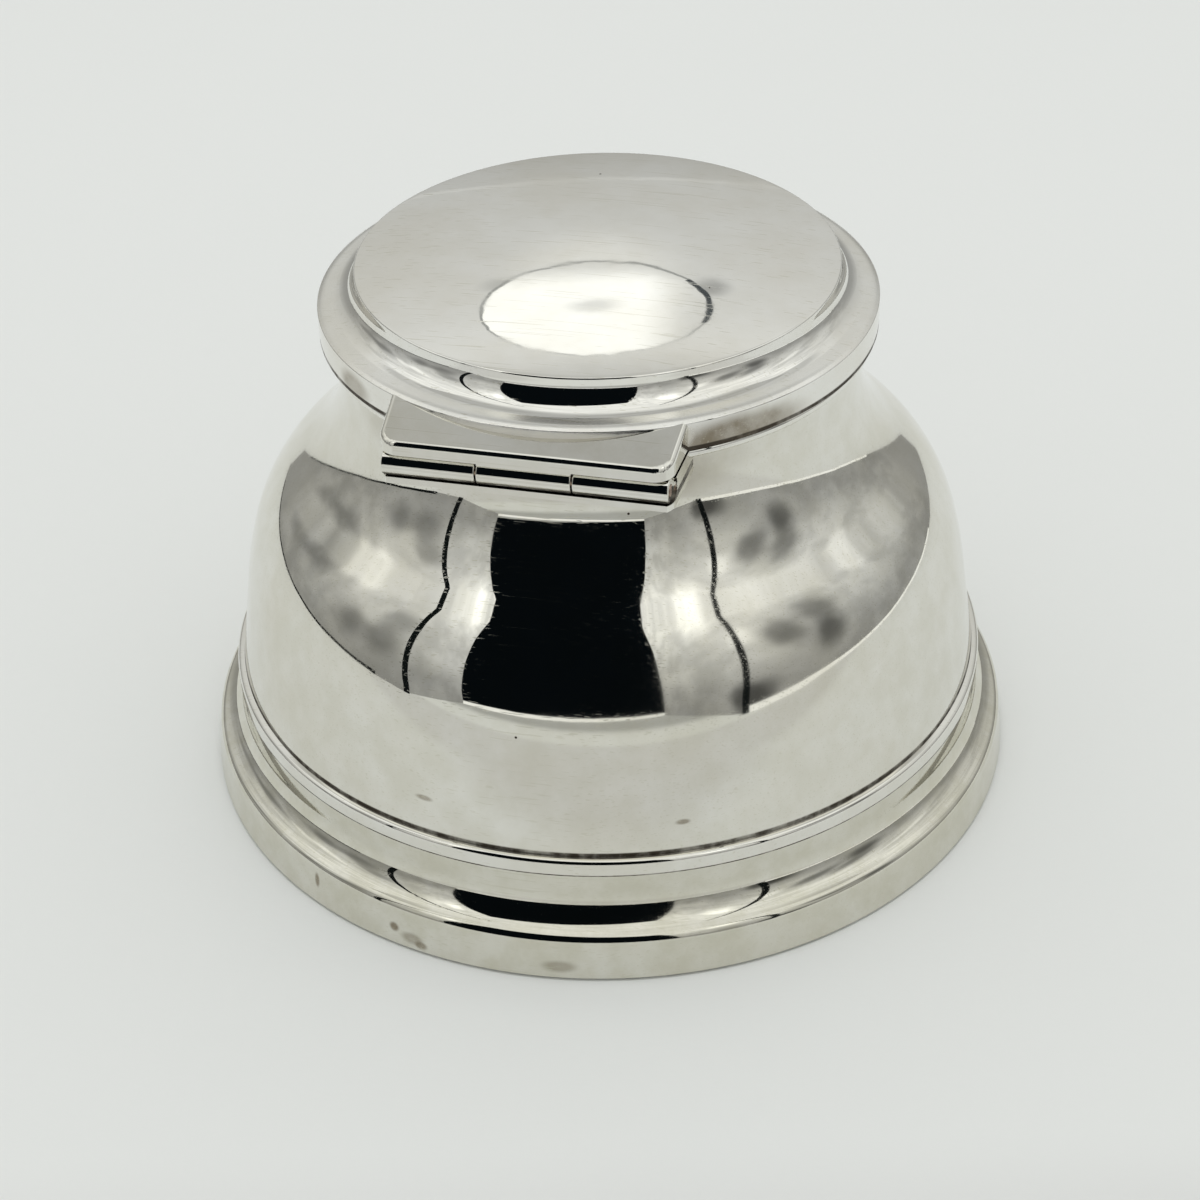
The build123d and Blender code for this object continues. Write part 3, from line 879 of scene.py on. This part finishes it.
# Finishes
body_silver = silver("body_silver", body_joint, body_stains, age=0.5, wear=1.6)
foot_silver = silver("foot_silver", foot_joint, foot_stains, age=0.72, wear=1.5)
wire_silver = silver("wire_silver", wire_joint, age=0.3)
lid_silver = silver(
    "lid_silver", lid_joint, lid_stains, age=0.2, worn_bands=lid_ledge, residue=lid_residue
)
inner_silver = silver("inner_silver", age=0.3, wear=1.2)
hinge_silver = silver("hinge_silver", hinge_underside_shade, age=0.42)
pin_steel = dark_steel("pin_steel")
glass = pot_glass("clear_glass")
wood = plain_wood("base_wood")
baize = green_cloth("green_baize")
pitch = black_pitch("black_pitch")


def dress(
    node_name,
    outline,
    material,
    body,
    ripple=0.0,
    segments=segments_round,
    place=Matrix.Identity(4),
):
    """Turns a finely made piece that stands for the CAD node of the same name."""
    piece = lathe(f"{node_name}_turned", outline, segments, ripple, place)
    piece.data.materials.append(material)
    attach(piece, body)
    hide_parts(node_name)


# Turned pieces
body_outline = [*body_side(), *reversed(body_side(body_sheet))]
collar_outline = rounded_box(
    well_radius, collar_radius, mouth_height, collar_top, collar_edge_round
)
dress("foot_ring", foot_outline(), foot_silver, "base", ripple_depth)
dress("body_shell", body_outline, body_silver, "base", ripple_depth)
dress("reeded_wire", wire_outline(), wire_silver, "base", ripple_depth / 2)
dress("mouth_collar", collar_outline, inner_silver, "base")
dress("well_sleeve", well_outline(), inner_silver, "base")
dress("ink_pot", pot_outline(), glass, "base", ripple_depth)
dress("lid_shell", lid_outline(), lid_silver, "lid", ripple_depth)
dress("lid_bezel", bezel_outline(), inner_silver, "lid")
dress("lid_lining", lining_outline(), inner_silver, "lid", ripple_depth)


def dress_on_axis(node_name, along, outline, material, body):
    """Dresses a knuckle or the pin, which lies on the hinge axis at a distance from its middle."""
    middle = Matrix.Translation(Vector((along, -axis_out, axis_height)) * metres)
    place = middle @ Matrix.Rotation(radians(90), 4, "Y")
    dress(node_name, outline, material, body, 0.0, small_segments_round, place)


# Hinge
knuckle = knuckle_outline(knuckle_length / 2, knuckle_radius, pin_radius, knuckle_edge_round)
pin = knuckle_outline(
    hinge_half_length + pin_end_proud, pin_radius - pin_ease, 0.0, pin_end_round
)
for node_name, along, body in (
    ("hinge_knuckle_left", -knuckle_pitch, "base"),
    ("hinge_knuckle_right", knuckle_pitch, "base"),
    ("hinge_knuckle_centre", 0.0, "lid"),
):
    dress_on_axis(node_name, along, knuckle, hinge_silver, body)
dress_on_axis("hinge_pin", 0.0, pin, pin_steel, "base")

# CAD pieces that stay as they are and take a finish
kept_finishes = {
    "lower_hinge_leaf": hinge_silver,
    "upper_hinge_leaf": hinge_silver,
    "base_board": wood,
    "base_baize": baize,
    "pitch_filling": pitch,
}
for node_name, material in kept_finishes.items():
    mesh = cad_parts[node_name].data
    mesh.materials.clear()
    mesh.materials.append(material)

# Camera: where it stands, in the turned frame in which it looks along +Y
camera_azimuth = 14.2
camera_place = (-0.000741, -0.2166, 0.16801)
camera_pitch = 35.22
camera_roll = -1.684
camera_lens = 72.12
camera_clip = 0.01
camera_turn = Matrix.Rotation(radians(camera_azimuth), 4, "Z")


def make_camera():
    """The camera that sees the object as the photograph does."""
    data = bpy.data.cameras.new("camera")
    data.lens = camera_lens
    data.clip_start = camera_clip
    camera = add_object("camera", data)
    tilt = Matrix.Rotation(radians(90 - camera_pitch), 4, "X")
    roll = Matrix.Rotation(radians(camera_roll), 4, "Z")
    camera.matrix_world = camera_turn @ Matrix.Translation(camera_place) @ tilt @ roll
    bpy.context.scene.camera = camera


make_camera()

# Stage: floor, world and lamp at a plain level
floor_colour = (0.765, 0.785, 0.760, 1)
# Painted shadow in front of the object, a painted lit strip past it, and painted shade on the
# unlit floor far off
floor_shade = (0.68, 0.69, 0.67, 1)
floor_lit_strip = (0.78, 0.80, 0.77, 1)
floor_far_shade = (0.47, 0.48, 0.46, 1)
floor_half_width = 3.0
floor_below = 0.00005
floor_noise = (30.0, 4.0)
floor_range = (0.3, 0.7, -0.02, 0.02)
fibre_noise = (1500.0, 3.0)
fibre_relief = 0.00002
floor_gloss = 0.9
world_level = 0.70
lamp_watts = 4.3
lamp_height = 1.2
lamp_size = 0.8

# Where the floor's colour changes in front of the object for painted shadow, a painted lit strip
# and painted shade far off, in metres along the camera's Y
shade_edge = (-0.064, -0.082)
lit_strip_edge = (-0.135, -0.155)
far_shade_edge = (-0.195, -0.26)


def make_floor():
    """A pale matt floor with painted shadow in front of the object, a brighter painted lit strip
    past it and a dim painted shade beyond.
    """
    w = floor_half_width
    mesh = bpy.data.meshes.new("floor")
    corners = [(-w, -w, 0), (w, -w, 0), (w, w, 0), (-w, w, 0)]
    mesh.from_pydata(corners, [], [(0, 1, 2, 3)])
    floor = add_object("floor", mesh)
    floor.matrix_world = camera_turn @ Matrix.Translation((0, 0, -floor_below))
    material, tree, place = start_material("floor_paper")
    forward = coordinate(tree, place, "Y")
    texture = patchy(tree, place, floor_noise, *floor_range)
    shaded = calculate(tree, "ADD", fade(tree, forward, *shade_edge), texture, clamp=True)
    colour = blend_colours(tree, shaded, floor_colour, floor_shade)
    colour = blend_colours(tree, fade(tree, forward, *lit_strip_edge), colour, floor_lit_strip)
    colour = blend_colours(tree, fade(tree, forward, *far_shade_edge), colour, floor_far_shade)
    fibres = cloudy(tree, place, *fibre_noise)
    finish_surface(tree, colour, floor_gloss, fibres, fibre_relief)
    mesh.materials.append(material)


def make_world():
    """White light from all round; the background behind the floor has the floor's colour."""
    world = bpy.data.worlds.new("tent_light")
    world.use_nodes = True
    bpy.context.scene.world = world
    tree = world.node_tree
    tree.nodes.clear()
    path = add_node(tree, "ShaderNodeLightPath")
    seen = calculate(tree, "ADD", path.outputs["Is Camera Ray"], path.outputs["Is Glossy Ray"])
    seen = calculate(tree, "ADD", seen, path.outputs["Is Transmission Ray"], clamp=True)
    sockets = {"Color": (1, 1, 1, 1), "Strength": world_level}
    light = add_node(tree, "ShaderNodeBackground", sockets)
    backdrop = add_node(tree, "ShaderNodeBackground", {"Color": floor_colour, "Strength": 1.0})
    sockets = {0: seen, 1: light.outputs[0], 2: backdrop.outputs[0]}
    mixed = add_node(tree, "ShaderNodeMixShader", sockets)
    add_node(tree, "ShaderNodeOutputWorld", {"Surface": mixed.outputs[0]})


def make_lamp():
    """One wide soft lamp overhead; silver mirrors the tent and not the lamp."""
    data = bpy.data.lights.new("overhead_lamp", "AREA")
    data.energy = lamp_watts
    data.size = lamp_size
    lamp = add_object("overhead_lamp", data)
    lamp.matrix_world = Matrix.Translation((0, 0, lamp_height))
    lamp.visible_glossy = False


make_floor()
make_world()
make_lamp()

# Light tent, seen only in mirror images. Its walls stand round the object, in the camera's
# turned frame and in millimetres: each corner has a foot (x, y) and a top (x, y).
tent_height = 800
tent_walls = [
    ((-261, -299), (-317, -241)),
    ((-177, -119), (-230, -24)),
    ((-200, -86), (-240, 0)),
    ((-283, -26), (-283, 0)),
    ((-369, 71), (-369, 71)),
    ((-415, 229), (-415, 229)),
    ((-415, 480), (-415, 480)),
    ((0, 520), (0, 520)),
    ((415, 480), (415, 480)),
    ((425, 250), (425, 250)),
    ((414, 65), (414, 65)),
    ((305, -51), (305, -40)),
    ((219, -102), (240, -60)),
    ((161, -133), (210, -80)),
    ((113, -159), (182, -102)),
    ((129, -484), (129, -484)),
]
dark_room = ((-900, -350), (700, -750))
dark_room_height = 2400
ceiling_front = (200, -1010)
ceiling_half_width = 1200
seam_width = 7.0
# Heights in millimetres of the painted shadow along the left walls' foot and of the painted light
# along the right walls' foot and the doorway's foot
left_foot_shadow_height = 6.0
right_foot_light_height = 7.0
door_foot_light_height = 9.0
strip_inset = 0.985

# Round lamp opening, its rim and the dark crescent on its right, in millimetres or as shares
lamp_middle = (0, 470, 391)
lamp_half_width = 66.5
lamp_half_height = 69
oval_steps = 72
rim_scale = 1.03
crescent_scale = 0.985
crescent_shift = -0.6
crescent_below = 8
crescent_above = 4

# Colours and levels of the tent; its own coordinates are in metres from here on
rim_colour = (0.36, 0.37, 0.36, 1)
shade_colour = (0.07, 0.08, 0.085, 1)
# Dark glow of the seams and of the painted shadow at the left walls' foot
seam_and_shadow_colour = (0.006, 0.008, 0.008, 1)
room_colour = (0.0022, 0.0035, 0.0045, 1)
wall_colour = (0.99, 1.0, 0.97, 1)
# Level of the painted light along the right walls' foot and the doorway's foot
foot_light_level = 1.05
ceiling_levels = (0.98, 0.50)
ceiling_edge = (0.04, 0.26)
ceiling_noise = (9.0, 3.0)
ceiling_range = (0.3, 0.7, 0.90, 1.06)
opening_haze = (0.78, 1.25)
opening_haze_height = 0.035
opening_side = (0.020, 0.062, 1.0, 0.62)
opening_dim_spot = ((-0.002, 0.470, 0.385), (0.026, 0.1, 0.018))
opening_dim_gain = 0.72

# Walls: brightness by how high a point is for its distance, and the back wall's own marks
wall_levels = [(0.0, 0.34), (0.10, 0.40), (0.20, 0.58), (0.40, 0.74), (0.60, 1.0)]
wall_level_scale = 0.5
wall_noise = (13.0, 3.0, 0.55)
wall_range = (0.32, 0.68, 0.86, 1.12)
back_wall_edge = (0.30, 0.42)
back_line = 0.215
back_line_soft = 0.004
back_line_core = 0.001
back_line_gain = 1.12
under_line_gain = 0.94
back_top_range = (0.85, 1.15)
back_top_gain = 0.62
still_beyond = 0.4
warp_scale = 11.0
warp_detail = 3.0
wall_warp = 0.045

# Soft blotches on the walls: centre and size, and how much brighter or dimmer they are
wall_blotches = [
    ((-0.385, 0.126, 0.145), (0.110, 0.140, 0.085), -0.50),
    ((-0.411, 0.230, 0.105), (0.090, 0.120, 0.070), -0.35),
    ((-0.204, -0.078, 0.075), (0.060, 0.060, 0.070), -0.50),
    ((-0.200, -0.081, 0.134), (0.050, 0.050, 0.060), -0.35),
    ((-0.259, -0.041, 0.070), (0.075, 0.075, 0.065), -0.45),
    ((0.232, -0.089, 0.154), (0.075, 0.060, 0.090), -0.60),
    ((0.225, -0.095, 0.080), (0.070, 0.060, 0.075), -0.72),
    ((0.176, -0.121, 0.125), (0.045, 0.045, 0.080), -0.60),
    ((0.122, -0.155, 0.020), (0.050, 0.040, 0.045), -0.75),
    ((-0.299, -0.005, 0.225), (0.060, 0.060, 0.080), 0.50),
    ((-0.345, 0.042, 0.224), (0.060, 0.060, 0.070), 0.35),
    ((-0.253, -0.186, 0.379), (0.100, 0.100, 0.170), 0.50),
    ((0.132, -0.199, 0.326), (0.080, 0.090, 0.170), 0.50),
    ((0.376, 0.028, 0.251), (0.100, 0.100, 0.090), 0.30),
    ((0.131, -0.146, 0.150), (0.030, 0.030, 0.050), 0.35),
    ((-0.056, 0.500, 0.373), (0.022, 0.080, 0.018), -0.22),
    ((0.070, 0.500, 0.384), (0.020, 0.080, 0.026), -0.42),
    ((0.000, 0.515, 0.365), (0.080, 0.090, 0.105), 0.26),
]


def card(name, corners, faces, material):
    """A sheet that only mirror images and glass see, given in millimetres."""
    mesh = bpy.data.meshes.new(name)
    mesh.from_pydata([Vector(corner) * metres for corner in corners], [], faces)
    mesh.materials.append(material)
    made = add_object(name, mesh)
    made.matrix_world = camera_turn
    made.visible_camera = False
    made.visible_diffuse = False
    made.visible_shadow = False
    made.visible_volume_scatter = False


def ribbon(lower, upper):
    """Corners and faces of a strip between two rows of points."""
    corners = [corner for pair in zip(lower, upper) for corner in pair]
    starts = range(0, 2 * len(lower) - 2, 2)
    return corners, [(start, start + 2, start + 3, start + 1) for start in starts]


def plain_glow(name, colour, strength=1.0):
    """An even glow."""
    material = new_material(name)
    finish_glow(material.node_tree, colour, strength)
    return material


def back_wall_marks(tree, place, rise):
    """The walls' folds, with a dim top, a bright line and a dimmer part under it at the back."""
    height = coordinate(tree, place, "Z")
    behind = fade(tree, coordinate(tree, place, "Y"), *back_wall_edge)
    under = fade(tree, height, back_line + back_line_soft, back_line - back_line_soft)
    off_line = calculate(tree, "ABSOLUTE", calculate(tree, "SUBTRACT", height, back_line))
    on_line = fade(tree, off_line, back_line_soft, back_line_core)
    top = fade(tree, rise, *back_top_range)
    marks = patchy(tree, place, wall_noise, *wall_range)
    marks = blend_levels(tree, behind, marks, 1.0)
    marks = gain_where(tree, marks, product(tree, behind, under), under_line_gain)
    marks = gain_where(tree, marks, product(tree, behind, on_line), back_line_gain)
    return gain_where(tree, marks, product(tree, behind, top), back_top_gain)


def warped_place(tree, place):
    """Places pushed about by noise, which makes the outlines of spots irregular."""
    sockets = {"Vector": place, "Scale": warp_scale, "Detail": warp_detail}
    drift = add_node(tree, "ShaderNodeTexNoise", sockets).outputs["Color"]
    drift = combine(tree, "SUBTRACT", drift, (0.5, 0.5, 0.5))
    drift = combine(tree, "MULTIPLY", drift, (wall_warp, wall_warp, wall_warp))
    return combine(tree, "ADD", place, drift)


def wall_glow(name):
    """Cloth walls lit from outside: dimmer at the foot, with soft folds and blotches."""
    material, tree, place = start_material(name)
    rise = calculate(tree, "DIVIDE", coordinate(tree, place, "Z"), off_axis(tree, place))
    ramp = add_node(tree, "ShaderNodeValToRGB", {"Fac": product(tree, rise, wall_level_scale)})
    stops = ramp.color_ramp.elements
    while len(stops) < len(wall_levels):
        stops.new(0.5)
    for stop, (position, level) in zip(stops, wall_levels):
        stop.position = position
        stop.color = (level, level, level, 1)
    level = product(tree, ramp.outputs["Color"], back_wall_marks(tree, place, rise))
    warped = warped_place(tree, place)
    for centre, size, gain in wall_blotches:
        still = centre[1] > still_beyond
        spot = soft_spot(tree, place if still else warped, centre, size)
        level = gain_where(tree, level, spot, 1.0 + gain)
    finish_glow(tree, wall_colour, level)
    return material


def oval(scale, behind, shift=0.0):
    """Points round the lamp opening, made larger or smaller and set behind it or before it."""
    points = []
    for step in range(oval_steps):
        turn = 2 * pi * step / oval_steps
        across = lamp_middle[0] + shift + lamp_half_width * scale * cos(turn)
        up = lamp_middle[2] + lamp_half_height * scale * sin(turn)
        points.append((across, lamp_middle[1] + behind, up))
    return points


def opening_glow(name):
    """The bright oval opening: dimmer at its lower edge, on its right and in its middle."""
    material, tree, place = start_material(name)
    low = (lamp_middle[2] - lamp_half_height) * metres
    height = coordinate(tree, place, "Z")
    level = fade(tree, height, low, low + opening_haze_height, *opening_haze)
    level = product(tree, level, fade(tree, coordinate(tree, place, "X"), *opening_side))
    level = gain_where(tree, level, soft_spot(tree, place, *opening_dim_spot), opening_dim_gain)
    finish_glow(tree, wall_colour, level)
    return material


def ceiling_glow(name):
    """The ceiling, lit best above the object and dimmer behind it."""
    material, tree, place = start_material(name)
    level = fade(tree, coordinate(tree, place, "Y"), *ceiling_edge, *ceiling_levels)
    level = product(tree, level, patchy(tree, place, ceiling_noise, *ceiling_range))
    finish_glow(tree, wall_colour, level)
    return material


def make_walls_and_ceiling():
    """Walls, ceiling and the dark room behind the doorway."""
    feet = [(*foot, 0) for foot, top in tent_walls]
    tops = [(*top, tent_height) for foot, top in tent_walls]
    card("tent_walls", *ribbon(feet, tops), wall_glow("tent_cloth"))

    ceiling = [
        (-ceiling_half_width, ceiling_front[0], tent_height),
        (ceiling_half_width, ceiling_front[1], tent_height),
        (ceiling_half_width, ceiling_half_width, tent_height),
        (-ceiling_half_width, ceiling_half_width, tent_height),
    ]
    card("tent_ceiling", ceiling, [(0, 1, 2, 3)], ceiling_glow("ceiling_cloth"))

    left, right = dark_room
    room = [(*left, 0), (*right, 0), (*right, dark_room_height), (*left, dark_room_height)]
    card("dark_room", room, [(0, 1, 2, 3)], plain_glow("room_dark", room_colour))


def make_lamp_opening():
    """The round opening, its rim behind it and a dark crescent before it."""
    whole = [tuple(range(oval_steps))]
    card("lamp_rim", oval(rim_scale, 1), whole, plain_glow("rim_glow", rim_colour))
    card("lamp_opening", oval(1.0, 0), whole, opening_glow("opening_glow"))
    outer, inner = oval(rim_scale, -1), oval(crescent_scale, -1, crescent_shift)
    steps = [step % oval_steps for step in range(-crescent_below, crescent_above)]
    edge = [outer[step] for step in steps] + [inner[step] for step in reversed(steps)]
    card("lamp_shade", edge, [tuple(range(len(edge)))], plain_glow("shade_dark", shade_colour))


def make_foot_light_shade_and_seams():
    """Strips a little inside the walls: painted shadow along the left walls' foot, painted light
    along the right walls' foot and the doorway's foot, and dark strips up the seams.
    """
    dark = plain_glow("seam_and_shadow_dark", seam_and_shadow_colour)
    bright = plain_glow("foot_light_glow", wall_colour, foot_light_level)
    feet = [Vector(foot) * strip_inset for foot, top in tent_walls]
    for name, stretch, height, material in (
        ("left_foot_shadow", feet[2:7], left_foot_shadow_height, dark),
        ("right_foot_light", feet[9:15], right_foot_light_height, bright),
        ("door_foot_light", [feet[0], feet[15]], door_foot_light_height, bright),
    ):
        lower = [(*foot, 0.0) for foot in stretch]
        upper = [(*foot, height) for foot in stretch]
        card(name, *ribbon(lower, upper), material)

    for name, (foot, top) in (("left_seam", tent_walls[1]), ("right_seam", tent_walls[14])):
        outward = Vector(foot).normalized()
        across = Vector((-outward.y, outward.x)) * seam_width / 2
        foot, top = Vector(foot) * strip_inset, Vector(top) * strip_inset
        lower = [(*(foot - across), 0), (*(foot + across), 0)]
        upper = [(*(top - across), tent_height), (*(top + across), tent_height)]
        card(name, *ribbon(lower, upper), dark)


make_walls_and_ceiling()
make_lamp_opening()
make_foot_light_shade_and_seams()

scene = bpy.context.scene
scene.view_settings.view_transform = "Standard"
